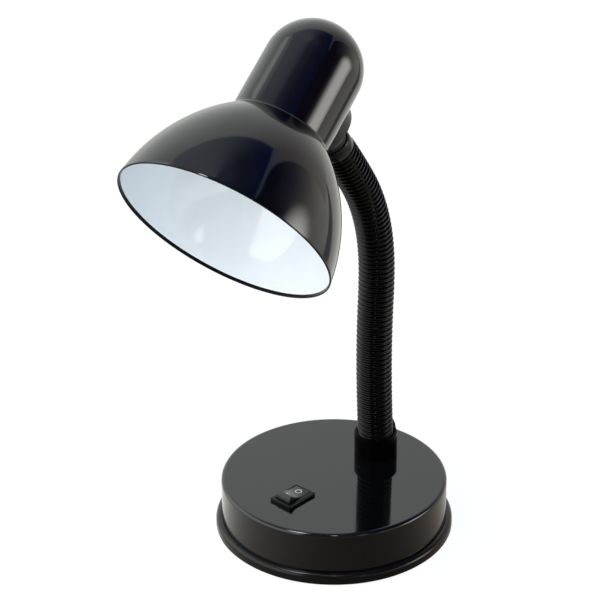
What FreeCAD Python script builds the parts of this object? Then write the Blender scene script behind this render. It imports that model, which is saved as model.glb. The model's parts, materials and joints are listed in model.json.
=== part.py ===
import FreeCAD, Part
import math
import os

# A small desk lamp: a round weighted base with a rocker switch, a ribbed
# bending neck held in a collar, and a bell shade with a domed rear cup.
# Millimetres, +Z up, the front of the lamp towards -Y. The origin is on the
# table, under the middle of the base. The shade is made upright on its own
# axis, mouth down, and the neck's parts along the neck's centre line.

Vector = FreeCAD.Vector

# Base: pressed cover on a moulded tray
cover_radius = 64.0
cover_top = 31.6
cover_wall = 0.8
cover_edge = 2.2
tray_lip = 3.4
tray_lift = 1.0
tray_height = 6.6
tray_floor = 2.0
tray_edge = 0.8
lip_round = 3.0
groove_depth = 3.2
seat_play = 0.15
rib_wall = 2.0
rib_height = 2.5

# Screws that hold tray, weight and cover together
fixing_inset = 4.0
fixing_count = 3
boss_radius = 6.0
boss_height = 5.0
pillar_radius = 4.0
screw_shank = 1.65
screw_head = 3.4
screw_head_height = 2.0
screw_length = 13.0
head_play = 0.3
thread_play = 0.05

# Weight and foot pad
weight_margin = 4.05
weight_height = 11.0
weight_play = 0.4
well_width = 42.0
well_front = 9.0
well_back = 15.0
pad_margin = 7.4
pad_hole = 5.0
head_sink = 0.3

# Rear cable inlet
inlet_height = 19.0
inlet_bore = 2.8
inlet_neck = 4.2
inlet_flange = 6.0
inlet_lip = 1.6

# Rocker switch, long side along Y
switch_inset = 29.8
bezel_width = 15.0
bezel_length = 21.0
bezel_height = 2.0
bezel_corner = 0.7
body_width = 13.0
body_length = 19.0
body_depth = 14.0
window_width = 10.8
rocker_reach = 7.6
rocker_rise = 3.6
rocker_dip = 2.1
rocker_depth = 3.0
rocker_play = 0.3
rocker_rest_angle = 14.0
pivot_height = 0.6
pivot_radius = 1.2
pivot_length = 0.7
pivot_play = 0.06
pocket_depth = 8.0
blade_width = 6.3
blade_thick = 0.8
blade_length = 7.0
blade_hole = 0.8
blade_spacing = 10.0

# Terminal block on the weight
block_place_x = -23.0
block_place_y = 4.0
block_length = 24.0
block_width = 13.0
block_height = 9.0
block_edge = 0.8
pole_pitch = 8.0
pole_screw = 1.7
pole_screw_depth = 3.0
pole_screw_height = 2.0
core_radius = 0.9
core_drop = 3.4

# Neck collar on the cover
neck_inset = 28.4
collar_radius = 12.3
collar_height = 13.3
collar_edge = 0.5
collar_gap = 0.5
lug_width = 12.0
lug_height = 4.6
grub_radius = 1.5
grub_head = 2.6
grub_head_height = 1.3
grub_height = 8.0

# Neck: hose over jointed tube, cable inside. The runs are the lengths of the
# centre line's arcs, and the angles its lean towards the front at their ends.
hose_radius = 10.2
hose_root = 9.0
hose_bore = 7.4
rib_pitch = 3.0
crest_share = 0.42
flank_share = 0.29
conduit_radius = 6.6
conduit_bore = 4.2
link_gap = 3.6
cable_radius = 2.6
fitting_bore = 3.2
shank_radius = 5.0
fitting_flange = 9.4
fitting_flange_height = 2.0
shank_play = 0.2
nut_flats = 17.0
nut_height = 5.0
washer_radius = 10.5
washer_height = 1.0
shank_spare = 3.0
collar_run = 13.5
lean_run = 27.0
rise_run = 59.5
back_run = 20.0
turn_run = 20.0
bend_run = 40.0
end_run = 30.2
collar_angle = 3.0
lean_angle = 2.0
rise_angle = -3.3
back_angle = 1.3
turn_angle = 10.3
bend_angle = 31.8
end_angle = 36.0
first_hinge = 26.0
hinge_pitch = 26.5
link_count = 7
bore_step = 13.0

# Head: shade with its rear cup, heights counted from the mouth
mouth_radius = 60.8
bell_height = 63.2
bell_bulge = 98.0
cup_radius = 27.4
cup_top_radius = 27.0
cup_length = 39.7
shade_wall = 1.0
junction_fillet = 1.2
head_turn = 8.0
arm_rise = 23.4

# Head fitting on the neck's end
ferrule_radius = 10.0
ferrule_length = 7.4
ferrule_top = 8.8
ferrule_straight = 4.6
ferrule_cap = 2.2
ferrule_play = 0.3
plug_play = 0.1
plug_height = 1.5
friction_height = 1.0
friction_gap = 0.2
saddle_radius = 18.0
saddle_length = 13.6
saddle_neck = 8.8
saddle_straight = 0.8
saddle_hollow = 2.0
nipple_radius = 4.6
nipple_play = 0.3
retainer_radius = 6.4
retainer_height = 2.4
swivel_nut_flats = 13.0
swivel_nut_height = 3.6

# Lampholder on its bracket inside the cup
bracket_distance = 20.6
bracket_thick = 1.5
bracket_width = 10.0
bracket_pad = 8.6
bracket_rise = 27.2
bracket_tail = 8.0
inner_pad = 8.2
holder_cap_height = 11.5
holder_cap_radius = 13.4
holder_cap_edge = 2.0
holder_radius = 12.8
holder_length = 22.5
holder_floor = 4.0
holder_bore = 8.0
shell_radius = 7.8
shell_wall = 0.5
shell_length = 17.0
contact_length = 9.0
contact_width = 3.0
contact_thick = 0.6
holder_screw = 1.5
holder_screw_head = 2.7
holder_screw_height = 1.8
holder_screw_length = 7.0
holder_screw_spacing = 10.0

# Lamp
bulb_radius = 22.5
bulb_neck = 12.5
bulb_throat = 12.0
bulb_cap_radius = 6.95
bulb_cap_length = 17.0
bulb_tip_radius = 3.0
bulb_tip_height = 1.6

# Soft leads take this share of the shorter run for each bend
bend_share = 0.45
# A half step on the dome's arc, and the rounds that settle the inner seam
dome_angle = 45.0
seam_rounds = 30

overrun = 5.0


def disc(radius, low, high, x=0, y=0):
    return Part.makeCylinder(radius, high - low, Vector(x, y, low))


def ring(outer, inner, low, high, x=0, y=0):
    hole = disc(inner, low - overrun, high + overrun, x, y)
    return disc(outer, low, high, x, y).cut(hole)


def block(x_low, x_high, y_low, y_high, low, high):
    corner = Vector(x_low, y_low, low)
    return Part.makeBox(x_high - x_low, y_high - y_low, high - low, corner)


def bar(width, length, low, high, x=0, y=0, corner=0):
    # an upright bar centred on x, y, its upright edges rounded
    solid = block(x - width / 2, x + width / 2, y - length / 2, y + length / 2, low, high)
    if corner > 0:
        upright = [edge for edge in solid.Edges if edge.BoundBox.ZLength > (high - low) / 2]
        solid = solid.makeFillet(corner, upright)
    return solid


def hexagon(flats, low, high, x=0, y=0):
    reach = flats / math.sqrt(3)
    corners = [Vector(x + reach * math.cos(math.radians(60 * k)),
                      y + reach * math.sin(math.radians(60 * k)), low) for k in range(7)]
    return Part.Face(Part.makePolygon(corners)).extrude(Vector(0, 0, high - low))


def turned(start, steps):
    # a solid of revolution about Z. A step is the next point (radius, height),
    # or a point on an arc followed by the arc's end.
    def place(radius, height):
        return Vector(radius, 0, height)
    edges = []
    here = place(*start)
    for step in list(steps) + [start]:
        there = place(*step[-2:])
        if len(step) == 4:
            edges.append(Part.Arc(here, place(*step[:2]), there).toShape())
        elif here.distanceToPoint(there) > 0:
            edges.append(Part.LineSegment(here, there).toShape())
        here = there
    face = Part.Face(Part.Wire(edges))
    return face.revolve(Vector(0, 0, 0), Vector(0, 0, 1), 360)


def around(count, first_angle, radius):
    # places spread evenly on a circle
    turns = [math.radians(first_angle + 360 * k / count) for k in range(count)]
    return [(radius * math.cos(a), radius * math.sin(a)) for a in turns]


def soft_wire(points, radius):
    # a round lead along straight runs joined by tangent arcs
    points = [Vector(*p) for p in points]
    edges = []
    here = points[0]
    for before, corner, after in zip(points, points[1:], points[2:]):
        back = (before - corner).normalize()
        ahead = (after - corner).normalize()
        half_turn = (math.pi - back.getAngle(ahead)) / 2
        run = min((before - corner).Length, (after - corner).Length)
        reach = bend_share * run
        arc_radius = reach / math.tan(half_turn)
        centre = corner + (back + ahead).normalize() * (arc_radius / math.cos(half_turn))
        entry, leave = corner + back * reach, corner + ahead * reach
        middle = centre + (corner - centre).normalize() * arc_radius
        edges.append(Part.LineSegment(here, entry).toShape())
        edges.append(Part.Arc(entry, middle, leave).toShape())
        here = leave
    edges.append(Part.LineSegment(here, points[-1]).toShape())
    section = Part.Wire(Part.makeCircle(radius, points[0], points[1] - points[0]))
    return Part.Wire(edges).makePipe(Part.Face(section))


# Places of the neck and the switch on the cover
neck_place_y = cover_radius - neck_inset
switch_distance = cover_radius - switch_inset

# Heights and lengths in the head: the arm to the neck, the lampholder on its bracket
arm_height = bell_height + arm_rise
saddle_end = cup_radius + saddle_length
arm_reach = saddle_end + friction_height + friction_gap + ferrule_length
bracket_top = arm_height + bracket_rise
holder_top = bracket_top - bracket_thick

# The neck's centre line
neck_runs = [
    (collar_run, collar_angle),
    (lean_run, lean_angle),
    (rise_run, rise_angle),
    (back_run, back_angle),
    (turn_run, turn_angle),
    (bend_run, bend_angle),
    (end_run, end_angle),
]
neck_length = sum(run for run, angle in neck_runs)


def neck_point(station):
    # y, z and lean at a length along the neck, counted from the cover's top
    y, z, lean = neck_place_y, cover_top, 0.0
    left = min(station, neck_length)
    for run, angle in neck_runs:
        length = min(left, run)
        new_lean = lean + math.radians(angle - math.degrees(lean)) * length / run
        middle = (lean + new_lean) / 2
        half = (new_lean - lean) / 2
        chord = length * (math.sin(half) / half if abs(half) > 0 else 1)
        y -= chord * math.sin(middle)
        z += chord * math.cos(middle)
        lean = new_lean
        left -= length
        if left <= 0:
            break
    beyond = max(station - neck_length, 0)
    y -= beyond * math.sin(lean)
    z += beyond * math.cos(lean)
    return y, z, lean


def neck_placement(station):
    # a frame on the neck: Z along it, X steady
    y, z, lean = neck_point(station)
    return FreeCAD.Placement(Vector(0, y, z), FreeCAD.Rotation(Vector(1, 0, 0), math.degrees(lean)))


def neck_circle(station, radius):
    # a circle square to the neck, its seam on a steady X axis
    circle = Part.Wire(Part.makeCircle(radius))
    circle.Placement = neck_placement(station)
    return circle


def neck_loft(stations):
    # a ruled loft through (station, radius) pairs
    return Part.makeLoft([neck_circle(s, r) for s, r in stations], True, True)


def even_stations(low, high, step, radius):
    # (station, radius) pairs about a step apart
    count = max(1, round((high - low) / step))
    return [(low + (high - low) * k / count, radius) for k in range(count + 1)]


def straight_link(low, high):
    # a straight stretch of conduit between two stations, placed on its chord
    y_low, z_low, lean_low = neck_point(low)
    y_high, z_high, lean_high = neck_point(high)
    start = Vector(0, y_low, z_low)
    along = Vector(0, y_high, z_high) - start
    outer = Part.makeCylinder(conduit_radius, along.Length, start, along)
    inner = Part.makeCylinder(conduit_bore, along.Length, start, along)
    return outer.cut(inner)


# The head's frame: mouth down on Z, the arm to the neck along its +Y
def head_placement():
    end = neck_placement(neck_length)
    along = end.Rotation.multVec(Vector(0, 0, 1))
    forward = end.Rotation.multVec(Vector(0, -1, 0))
    turn = FreeCAD.Rotation(along, head_turn)
    mouth = turn.multVec(forward)
    up = mouth * -1
    back = along * -1
    side = back.cross(up)
    turned_to = FreeCAD.Rotation(side, back, up, "ZYX")
    centre = end.Base + along * arm_reach + mouth * arm_height
    return FreeCAD.Placement(centre, turned_to)


def on_head(shape):
    shape = shape.copy()
    shape.Placement = head_placement().multiply(shape.Placement)
    return shape


def arm_solid(solid, distance=0):
    # stands a solid made on Z on the arm's axis, Z outwards from the shade
    solid = solid.copy()
    turn = FreeCAD.Rotation(Vector(1, 0, 0), -90)
    solid.Placement = FreeCAD.Placement(Vector(0, distance, arm_height), turn)
    return solid


def on_neck_end(solid):
    solid = solid.copy()
    solid.Placement = neck_placement(neck_length)
    return solid


# Heights and radii in the base
tray_top = tray_lift + tray_height
tray_radius = cover_radius + tray_lip
pad_radius = tray_radius - pad_margin
skirt_foot = tray_top - groove_depth
cover_inside = cover_top - cover_wall
cover_bore = cover_radius - cover_wall
rib_radius = cover_bore - seat_play
weight_radius = rib_radius - rib_wall - weight_margin
fixing_radius = weight_radius - fixing_inset
floor_top = tray_lift + tray_floor
weight_top = floor_top + weight_height
boss_top = tray_lift + boss_height
fixings = around(fixing_count, -90, fixing_radius)
pivot_z = cover_top + pivot_height
bezel_top = cover_top + bezel_height
body_foot = cover_top - body_depth
end_arc = math.hypot(rocker_reach, rocker_rise)
window_length = 2 * (end_arc + rocker_play)
blade_places = [-switch_distance + blade_spacing / 2, -switch_distance - blade_spacing / 2]
shank_foot = cover_inside - washer_height - nut_height - shank_spare


def rear_bore(radius):
    # the hole for the cable through the cover's rear
    return Part.makeCylinder(radius, cover_radius, Vector(0, overrun, inlet_height), Vector(0, 1, 0))


def base_cover():
    corner = cover_edge * (1 - math.sqrt(0.5))
    inner_edge = cover_edge - cover_wall
    inner_corner = cover_wall + inner_edge * (1 - math.sqrt(0.5))
    cover = turned((0, cover_top), [
        (cover_radius - cover_edge, cover_top),
        (cover_radius - corner, cover_top - corner, cover_radius, cover_top - cover_edge),
        (cover_radius, skirt_foot),
        (cover_bore, skirt_foot),
        (cover_bore, cover_inside - inner_edge),
        (cover_radius - inner_corner, cover_top - inner_corner, cover_bore - inner_edge, cover_inside),
        (0, cover_inside),
    ])
    slot = bar(body_width + 2 * seat_play, body_length + 2 * seat_play,
               cover_inside - overrun, cover_top + overrun, 0, -switch_distance)
    neck_hole = disc(shank_radius + shank_play, cover_inside - overrun, cover_top + overrun,
                     0, neck_place_y)
    inlet = rear_bore(inlet_neck + seat_play)
    return cover.cut(slot).cut(neck_hole).cut(inlet)


def base_tray():
    corner = lip_round * (1 - math.sqrt(0.5))
    tray = turned((0, tray_lift), [
        (tray_radius - tray_edge, tray_lift),
        (tray_radius, tray_lift + tray_edge),
        (tray_radius, tray_top - lip_round),
        (tray_radius - corner, tray_top - corner, tray_radius - lip_round, tray_top),
        (cover_radius + seat_play, tray_top),
        (cover_radius + seat_play, skirt_foot),
        (rib_radius, skirt_foot),
        (rib_radius, tray_top + rib_height),
        (rib_radius - rib_wall, tray_top + rib_height),
        (rib_radius - rib_wall, floor_top),
        (0, floor_top),
    ])
    for x, y in fixings:
        tray = tray.fuse(disc(boss_radius, floor_top, boss_top, x, y))
    for x, y in fixings:
        recess = disc(screw_head + head_play, tray_lift - overrun, tray_lift + screw_head_height, x, y)
        tray = tray.cut(recess).cut(disc(screw_shank + head_play, tray_lift, boss_top + overrun, x, y))
    return tray.removeSplitter()


def ballast_weight():
    weight = disc(weight_radius, floor_top, weight_top)
    for x, y in fixings:
        weight = weight.cut(disc(boss_radius + weight_play, floor_top - overrun, weight_top + overrun, x, y))
    well = block(-well_width / 2, well_width / 2, blade_places[1] - well_front, blade_places[0] + well_back,
                 floor_top - overrun, weight_top + overrun)
    return weight.cut(well)


def foot_pad():
    # a soft pad under the tray, with a hole at each screw
    pad = disc(pad_radius, 0, tray_lift)
    for x, y in fixings:
        pad = pad.cut(disc(pad_hole, -overrun, tray_lift + overrun, x, y))
    return pad


def cover_pillars():
    pillars = []
    for x, y in fixings:
        pillar = disc(pillar_radius, boss_top, cover_inside, x, y)
        bore = disc(screw_shank + thread_play, boss_top - overrun, tray_lift + screw_length + overrun, x, y)
        pillars.append(pillar.cut(bore))
    return Part.makeCompound(pillars)


def tray_screws():
    seat = tray_lift + screw_head_height
    screws = []
    for x, y in fixings:
        head = disc(screw_head, tray_lift + head_sink, seat, x, y)
        screws.append(head.fuse(disc(screw_shank, seat, tray_lift + screw_length, x, y)))
    return Part.makeCompound(screws)


def inlet_grommet():
    wall_inside = math.sqrt(cover_bore ** 2 - inlet_flange ** 2)
    outer = Part.makeCylinder(inlet_flange, inlet_lip, Vector(0, cover_radius, inlet_height), Vector(0, 1, 0))
    neck = Part.makeCylinder(inlet_neck, cover_radius - wall_inside + inlet_lip,
                             Vector(0, wall_inside - inlet_lip, inlet_height), Vector(0, 1, 0))
    inner = Part.makeCylinder(inlet_flange, inlet_lip,
                              Vector(0, wall_inside - inlet_lip, inlet_height), Vector(0, 1, 0))
    outer = outer.makeChamfer(inlet_lip / 3, [outer.Edges[0]])
    return outer.fuse([neck, inner]).cut(rear_bore(inlet_bore)).removeSplitter()


def switch_housing():
    centre = -switch_distance
    bezel = bar(bezel_width, bezel_length, cover_top, bezel_top, 0, centre, bezel_corner)
    top_edges = [e for e in bezel.Edges if e.BoundBox.ZMin > bezel_top - bezel_corner / 2]
    bezel = bezel.makeChamfer(bezel_corner / 2, top_edges)
    body = bar(body_width, body_length, body_foot, cover_top, 0, centre)
    pocket = bar(window_width, window_length, cover_top - pocket_depth, bezel_top + overrun, 0, centre)
    reach = window_width / 2 + pivot_length
    pivot = Part.makeCylinder(pivot_radius + pivot_play, 2 * reach,
                              Vector(-reach, centre, pivot_z), Vector(1, 0, 0))
    return bezel.fuse(body).cut(pocket).cut(pivot).removeSplitter()


def switch_terminals():
    blades = []
    for y in blade_places:
        low = body_foot - blade_length
        blade = bar(blade_width, blade_thick, low, body_foot, 0, y)
        hole = Part.makeCylinder(blade_hole, blade_thick + 2 * overrun,
                                 Vector(0, y - overrun, low + blade_length / 3), Vector(0, 1, 0))
        blades.append(blade.cut(hole))
    return Part.makeCompound(blades)


def switch_rocker():
    width = window_width - 2 * rocker_play
    far = math.sqrt(end_arc ** 2 - rocker_depth ** 2)
    points = {
        "front": Vector(0, -rocker_reach, rocker_rise), "dip": Vector(0, 0, rocker_dip),
        "back": Vector(0, rocker_reach, rocker_rise), "back_side": Vector(0, end_arc, 0),
        "back_foot": Vector(0, far, -rocker_depth), "front_foot": Vector(0, -far, -rocker_depth),
        "front_side": Vector(0, -end_arc, 0),
    }
    edges = [
        Part.Arc(points["front"], points["dip"], points["back"]).toShape(),
        Part.Arc(points["back"], points["back_side"], points["back_foot"]).toShape(),
        Part.LineSegment(points["back_foot"], points["front_foot"]).toShape(),
        Part.Arc(points["front_foot"], points["front_side"], points["front"]).toShape(),
    ]
    rocker = Part.Face(Part.Wire(edges)).extrude(Vector(width, 0, 0))
    rocker.translate(Vector(-width / 2, 0, 0))
    reach = width / 2 + rocker_play + pivot_length - pivot_play
    pins = Part.makeCylinder(pivot_radius, 2 * reach, Vector(-reach, 0, 0), Vector(1, 0, 0))
    rocker = rocker.fuse(pins)
    turn = FreeCAD.Rotation(Vector(1, 0, 0), -rocker_rest_angle)
    rocker.Placement = FreeCAD.Placement(Vector(0, -switch_distance, pivot_z), turn)
    return rocker


pole_places = [block_place_x + (k - 1) * pole_pitch for k in range(3)]
block_top = weight_top + block_height
core_height = weight_top + block_height / 2


def terminal_block():
    body = bar(block_length, block_width, weight_top, block_top, block_place_x, block_place_y, block_edge)
    for x in pole_places:
        foot = block_top - pole_screw_depth
        body = body.cut(disc(pole_screw + seat_play, foot, block_top + overrun, x, block_place_y))
    return body


def block_screws():
    screws = []
    for x in pole_places:
        foot = block_top - pole_screw_depth
        screw = disc(pole_screw, foot, foot + pole_screw_height, x, block_place_y)
        slot = bar(pole_screw / 2, 3 * pole_screw, foot + pole_screw_height / 2, block_top, x, block_place_y)
        screws.append(screw.cut(slot))
    return Part.makeCompound(screws)


def base_leads():
    # two cores from the neck's cable, two leads from the block to the switch
    back_face = block_place_y + block_width / 2
    front_face = block_place_y - block_width / 2
    cable_end = shank_foot - cable_radius / 2
    low = cable_end - core_drop
    spread = cable_radius / 2
    leads = []
    for side, pole in ((spread, pole_places[2]), (-spread, pole_places[1])):
        leads.append(soft_wire([
            (side, neck_place_y, cable_end),
            (side, neck_place_y, low),
            (pole, (neck_place_y + back_face) / 2, (low + core_height) / 2),
            (pole, back_face + pole_pitch / 2, core_height),
            (pole, back_face, core_height),
        ], core_radius))
    blade_z = body_foot - blade_length / 2
    near_y = blade_places[0] + blade_thick / 2
    leads.append(soft_wire([
        (pole_places[2], front_face, core_height),
        (pole_places[2], front_face - pole_pitch, core_height),
        (pole_places[2] / 3, near_y + pole_pitch, blade_z),
        (0, near_y + pole_pitch / 3, blade_z),
        (0, near_y, blade_z),
    ], core_radius))
    far_y = blade_places[1]
    leads.append(soft_wire([
        (pole_places[1], front_face, core_height),
        (pole_places[1], front_face - pole_pitch, core_height),
        (-body_width, near_y + pole_pitch / 2, core_height),
        (-body_width, far_y, blade_z),
        (-blade_width / 2, far_y, blade_z),
    ], core_radius))
    return Part.makeCompound(leads)


collar_top = cover_top + collar_height
collar_bore = hose_radius + collar_gap


def neck_collar():
    wall = turned((collar_bore, cover_top), [
        (collar_radius, cover_top),
        (collar_radius, collar_top - collar_edge),
        (collar_radius - collar_edge, collar_top),
        (collar_bore, collar_top),
    ])
    wall.translate(Vector(0, neck_place_y, 0))
    lug_top = collar_top + lug_height
    half = lug_width / 2
    sleeve = ring(collar_radius, collar_bore, collar_top - collar_edge, lug_top, 0, neck_place_y)
    tab = Part.makeCylinder(half, collar_radius, Vector(0, 0, lug_top - half), Vector(0, 1, 0))
    if lug_height > half:
        tab = tab.fuse(block(-half, half, 0, collar_radius, collar_top - collar_edge, lug_top - half))
    tab.translate(Vector(0, neck_place_y, 0))
    lug = sleeve.common(tab)
    grub = Part.makeCylinder(grub_radius + thread_play, collar_radius + overrun,
                             Vector(0, neck_place_y, cover_top + grub_height), Vector(0, 1, 0))
    return wall.fuse(lug).cut(grub).removeSplitter()


def collar_screw():
    z = cover_top + grub_height
    sag = collar_radius - math.sqrt(collar_radius ** 2 - grub_head ** 2)
    start = neck_place_y + collar_bore
    seat = neck_place_y + collar_radius
    y_axis = Vector(0, 1, 0)
    shank = Part.makeCylinder(grub_radius, seat - start, Vector(0, start, z), y_axis)
    head = Part.makeCylinder(grub_head, grub_head_height, Vector(0, seat, z), y_axis)
    slot = block(-grub_head, grub_head, seat + grub_head_height / 2, seat + grub_head_height + sag,
                 z - grub_radius / 4, z + grub_radius / 4)
    return shank.fuse(head).cut(slot).removeSplitter()


hinge_stations = [first_hinge + hinge_pitch * k for k in range(link_count)]


def neck_base_fitting():
    flange_top = cover_top + fitting_flange_height
    foot = turned((fitting_bore, shank_foot), [
        (shank_radius, shank_foot),
        (shank_radius, cover_top),
        (fitting_flange, cover_top),
        (fitting_flange, flange_top),
        (fitting_bore, flange_top),
    ])
    foot.translate(Vector(0, neck_place_y, 0))
    tube = straight_link(fitting_flange_height / 2, first_hinge - link_gap / 2)
    return foot.fuse(tube)


def neck_washer():
    low = cover_inside - washer_height
    return ring(washer_radius, shank_radius + shank_play, low, cover_inside, 0, neck_place_y)


def neck_nut():
    top = cover_inside - washer_height
    low = top - nut_height
    nut = hexagon(nut_flats, low, top, 0, neck_place_y)
    return nut.cut(disc(shank_radius + thread_play, low - overrun, top + overrun, 0, neck_place_y))


def neck_conduit(number):
    low = hinge_stations[number - 1] + link_gap / 2
    high = hinge_stations[number] - link_gap / 2
    return straight_link(low, high)


def neck_top_fitting():
    low = hinge_stations[-1] + link_gap / 2
    middle = (low + neck_length) / 2
    tube = neck_loft([(s, conduit_radius) for s in (low, middle, neck_length)])
    bore = neck_loft([(s, conduit_bore) for s in (low - overrun, middle, neck_length + overrun)])
    plug = on_neck_end(disc(ferrule_inside - plug_play, 0, plug_height))
    return tube.fuse(plug).cut(bore).removeSplitter()


def neck_sleeve():
    low = fitting_flange_height + seat_play
    count = round((neck_length - low) / rib_pitch)
    pitch = (neck_length - low) / count
    stations = [(low, hose_root)]
    for k in range(count):
        start = low + pitch * k
        stations.append((start + pitch * flank_share, hose_radius))
        stations.append((start + pitch * (flank_share + crest_share), hose_radius))
        stations.append((start + pitch, hose_root))
    hose = neck_loft(stations)
    bore = neck_loft(even_stations(low - overrun, neck_length + overrun, bore_step, hose_bore))
    return hose.cut(bore)


nipple_inside = bracket_distance - swivel_nut_height
nipple_end = ferrule_length - ferrule_cap - ferrule_play - retainer_height
ferrule_inside = retainer_radius + 2 * ferrule_play


def neck_cable():
    low = shank_foot - cable_radius / 2 - cover_top
    high = neck_length + arm_reach - nipple_inside
    straight = disc(cable_radius, cover_top + low, cover_top, 0, neck_place_y)
    rest = neck_loft(even_stations(0, neck_length, bore_step / 2, cable_radius) + [(high, cable_radius)])
    return straight.fuse(rest).removeSplitter()


def end_ferrule():
    shoulder = ferrule_length - ferrule_straight
    drop = ferrule_radius - ferrule_top
    ferrule = turned((ferrule_inside, 0), [
        (ferrule_radius, 0),
        (ferrule_radius, ferrule_straight),
        (ferrule_top + drop * math.sqrt(0.5), ferrule_straight + shoulder * math.sqrt(0.5),
         ferrule_top, ferrule_length),
        (nipple_radius + nipple_play, ferrule_length),
        (nipple_radius + nipple_play, ferrule_length - ferrule_cap),
        (ferrule_inside, ferrule_length - ferrule_cap),
    ])
    return on_neck_end(ferrule)


# The shade's outline: the bell's arc runs from the mouth to the cup
def arc_centre(low, high, radius):
    # centre (radius, height) of an arc through two points, bulging outwards
    middle_r, middle_h = (low[0] + high[0]) / 2, (low[1] + high[1]) / 2
    run_r, run_h = high[0] - low[0], high[1] - low[1]
    chord = math.hypot(run_r, run_h)
    away = math.sqrt(radius ** 2 - (chord / 2) ** 2)
    return middle_r - away * run_h / chord, middle_h + away * run_r / chord


bell_centre = arc_centre((mouth_radius, 0), (cup_radius, bell_height), bell_bulge)
cup_slope = math.atan2(cup_radius - cup_top_radius, cup_length)
dome_join = bell_height + cup_length


def bell_radius(height, inset):
    # the bell's radius at a height, inset for its inner face
    return bell_centre[0] + math.sqrt((bell_bulge - inset) ** 2 - (height - bell_centre[1]) ** 2)


def cup_side(height, inset):
    return cup_radius - (height - bell_height) * math.tan(cup_slope) - inset / math.cos(cup_slope)


def shade_body(inset, foot):
    # the solid inside the shade's outline, inset, from a height upwards
    low = bell_radius(foot, inset)
    top_radius = cup_side(dome_join, inset)
    dome = top_radius / math.cos(cup_slope)
    dome_centre = dome_join - dome * math.sin(cup_slope)
    seam = bell_height
    for step in range(seam_rounds):
        # where the inner faces of bell and cup meet
        off = cup_side(seam, inset) - bell_centre[0]
        seam = bell_centre[1] + math.sqrt((bell_bulge - inset) ** 2 - off ** 2)
    middle = (foot + seam) / 2
    tilt = math.radians(dome_angle)
    return turned((0, foot), [
        (low, foot),
        (bell_radius(middle, inset), middle, cup_side(seam, inset), seam),
        (top_radius, dome_join),
        (dome * math.cos(tilt), dome_centre + dome * math.sin(tilt), 0, dome_centre + dome),
    ])


def shade():
    outer = shade_body(0, 0)
    joint = [edge for edge in outer.Edges
             if abs(edge.BoundBox.ZMin - bell_height) < seat_play and edge.BoundBox.ZLength < seat_play]
    outer = outer.makeFillet(junction_fillet, joint)
    hollow = shade_body(shade_wall, 0)
    below = disc(bell_radius(0, shade_wall), -overrun, 0)
    hole = arm_solid(disc(nipple_radius + plug_play, 0, cup_radius + overrun))
    return on_head(outer.cut(hollow.fuse(below)).cut(hole))


def along_arm(profile_start, steps):
    # a turned solid on the arm, its Z the distance from the head's axis
    return arm_solid(turned(profile_start, steps))


def shade_saddle():
    start = cup_radius / 2
    flare = cup_radius + saddle_straight
    saddle = along_arm((nipple_radius + plug_play, start), [
        (saddle_radius, start),
        (saddle_radius, flare),
        ((saddle_radius + saddle_neck) / 2 - saddle_hollow, (flare + saddle_end) / 2,
         saddle_neck, saddle_end),
        (nipple_radius + plug_play, saddle_end),
    ])
    return on_head(saddle.cut(shade_body(-seat_play / 3, 0)))


def swivel_washer():
    washer = ring(saddle_neck, nipple_radius + plug_play, 0, friction_height)
    return on_head(arm_solid(washer, saddle_end))


def swivel_nipple():
    low, high = nipple_inside, arm_reach - nipple_end
    tube = ring(nipple_radius, fitting_bore, low, high)
    return on_head(arm_solid(tube))


def swivel_nut():
    nut = hexagon(swivel_nut_flats, nipple_inside, bracket_distance)
    bore = disc(nipple_radius + thread_play, -overrun, cup_radius)
    return on_head(arm_solid(nut.cut(bore)))


def swivel_retainer():
    low = arm_reach - nipple_end - retainer_height
    return on_head(arm_solid(ring(retainer_radius, nipple_radius + thread_play, low, low + retainer_height)))


def inner_saddle():
    face = bracket_distance + bracket_thick
    pad = arm_solid(ring(inner_pad, nipple_radius + plug_play, face, cup_radius))
    return on_head(pad.common(shade_body(shade_wall + seat_play / 3, 0)))


def holder_bracket():
    near, far = bracket_distance, bracket_distance + bracket_thick
    half = bracket_width / 2
    pad = arm_solid(disc(bracket_pad, near, far))
    leg = block(-half, half, near, far, arm_height, bracket_top)
    arm = block(-half, half, -bracket_tail, far, bracket_top - bracket_thick, bracket_top)
    strip = leg.fuse(arm).removeSplitter()
    bend = [e for e in strip.Edges
            if e.BoundBox.XLength > half and e.BoundBox.YMin > far - thread_play
            and e.BoundBox.ZMin > bracket_top - thread_play]
    strip = strip.makeFillet(bracket_thick, bend)
    hole = arm_solid(disc(nipple_radius + plug_play, 0, cup_radius))
    bracket = strip.fuse(pad).cut(hole)
    for y in (-holder_screw_spacing / 2, holder_screw_spacing / 2):
        hole = disc(holder_screw + plug_play, holder_top - overrun, bracket_top + overrun, 0, y)
        bracket = bracket.cut(hole)
    return on_head(bracket.removeSplitter())


holder_foot = holder_top - holder_cap_height - holder_length
contact_face = holder_foot + holder_length - holder_floor


def lampholder_cap():
    low = holder_top - holder_cap_height
    cap = turned((0, low), [
        (holder_cap_radius, low),
        (holder_cap_radius, holder_top - holder_cap_edge),
        (holder_cap_radius - holder_cap_edge, holder_top),
        (0, holder_top),
    ])
    for y in (-holder_screw_spacing / 2, holder_screw_spacing / 2):
        foot = holder_top - holder_screw_length
        cap = cap.cut(disc(holder_screw + thread_play, foot, holder_top + overrun, 0, y))
    return on_head(cap)


def lampholder_body():
    top = holder_foot + holder_length
    body = turned((holder_bore, holder_foot), [
        (holder_radius, holder_foot),
        (holder_radius, top),
        (0, top),
        (0, contact_face),
        (holder_bore, contact_face),
    ])
    return on_head(body)


def lampholder_shell():
    high = contact_face
    return on_head(ring(shell_radius, shell_radius - shell_wall, high - shell_length, high))


def centre_contact():
    low = contact_face - contact_thick
    return on_head(bar(contact_width, contact_length, low, contact_face, 0, 0, contact_width / 3))


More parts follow.
